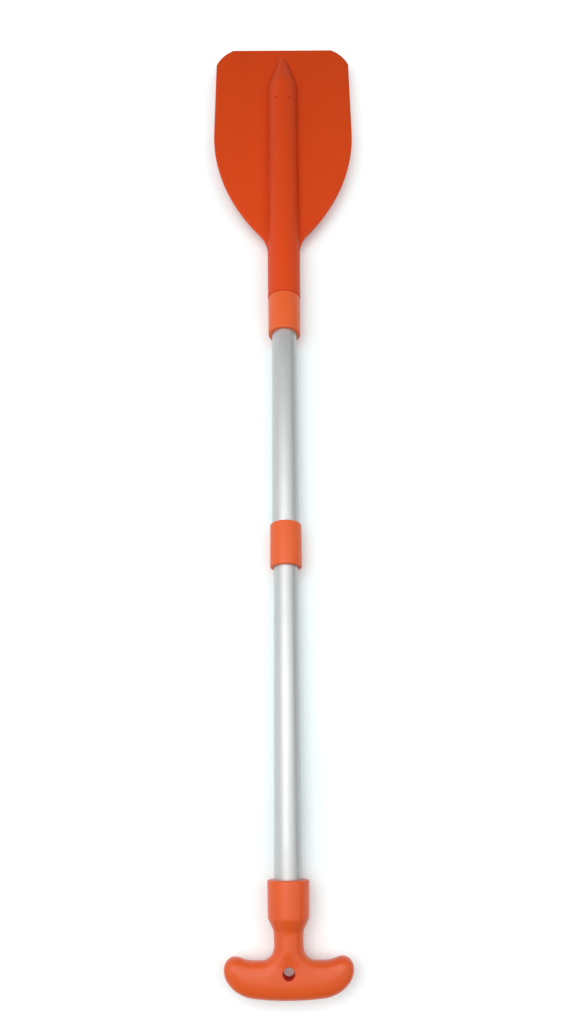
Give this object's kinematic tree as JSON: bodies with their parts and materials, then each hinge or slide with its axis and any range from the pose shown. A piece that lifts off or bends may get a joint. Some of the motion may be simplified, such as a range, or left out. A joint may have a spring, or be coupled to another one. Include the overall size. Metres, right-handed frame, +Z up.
{
  "type": "telescoping paddle",
  "caption": "Telescoping boat paddle: moulded blade with a tubular rib, sliding aluminium shaft tubes with inner twist locks, slim collars and a T-grip with a hanging hole.",
  "frame": {"origin": "on the floor that the paddle lies on, below the middle of its extended length, on the shaft's centre plane", "axes": "+Y along the shaft towards the blade's tip, +Z up out of the blade's face, +X across the blade"},
  "size_m": [0.183, 1.1449, 0.0397],
  "materials": {
    "blade_plastic": "fine moulded texture, satin",
    "collar_plastic": "smooth moulded, satin",
    "grip_plastic": "smooth moulded, satin",
    "tube_alloy": "satin clear anodised",
    "inner_plastic": "moulded nylon",
    "sleeve_plastic": "moulded acetal",
    "screw_steel": "zinc plated"
  },
  "bodies": {
    "blade_section": {"blade": "blade_plastic", "blade_tube": "tube_alloy", "blade_tube_plug": "inner_plastic", "blade_collar": "collar_plastic"},
    "upper_lock": {"upper_expander": "sleeve_plastic"},
    "upper_cone": {"upper_cone_nut": "inner_plastic"},
    "upper_section": {"upper_tube": "tube_alloy", "upper_guide_sleeve": "sleeve_plastic", "upper_end_plug": "inner_plastic", "upper_lock_screw": "screw_steel", "upper_lock_washer": "screw_steel", "middle_collar": "collar_plastic"},
    "lower_lock": {"lower_expander": "sleeve_plastic"},
    "lower_cone": {"lower_cone_nut": "inner_plastic"},
    "lower_section": {"lower_tube": "tube_alloy", "lower_guide_sleeve": "sleeve_plastic", "lower_end_plug": "inner_plastic", "lower_lock_screw": "screw_steel", "lower_lock_washer": "screw_steel", "t_grip": "grip_plastic"}
  },
  "joints": [
    {"name": "upper_slide", "type": "slide", "parent": "blade_section", "child": "upper_lock", "axis": [0, 1, 0], "range_m": [0, 0.237]},
    {"name": "upper_twist", "type": "hinge", "parent": "upper_lock", "child": "upper_section", "pos_m": [0, 0.195, 0.01985], "axis": [0, -1, 0], "range_deg": [0, 450]},
    {"name": "upper_cone_travel", "type": "slide", "parent": "upper_lock", "child": "upper_cone", "axis": [0, 1, 0], "range_m": [0, 0.0019]},
    {"name": "lower_slide", "type": "slide", "parent": "upper_section", "child": "lower_lock", "axis": [0, 1, 0], "range_m": [0, 0.282]},
    {"name": "lower_twist", "type": "hinge", "parent": "lower_lock", "child": "lower_section", "pos_m": [0, -0.135, 0.01985], "axis": [0, -1, 0], "range_deg": [0, 450]},
    {"name": "lower_cone_travel", "type": "slide", "parent": "lower_lock", "child": "lower_cone", "axis": [0, 1, 0], "range_m": [0, 0.0019]}
  ],
  "couplings": [
    {"joint": "upper_cone_travel", "follows": "upper_twist", "m_per_rad": 0.00023873},
    {"joint": "lower_cone_travel", "follows": "lower_twist", "m_per_rad": 0.00023873}
  ]
}
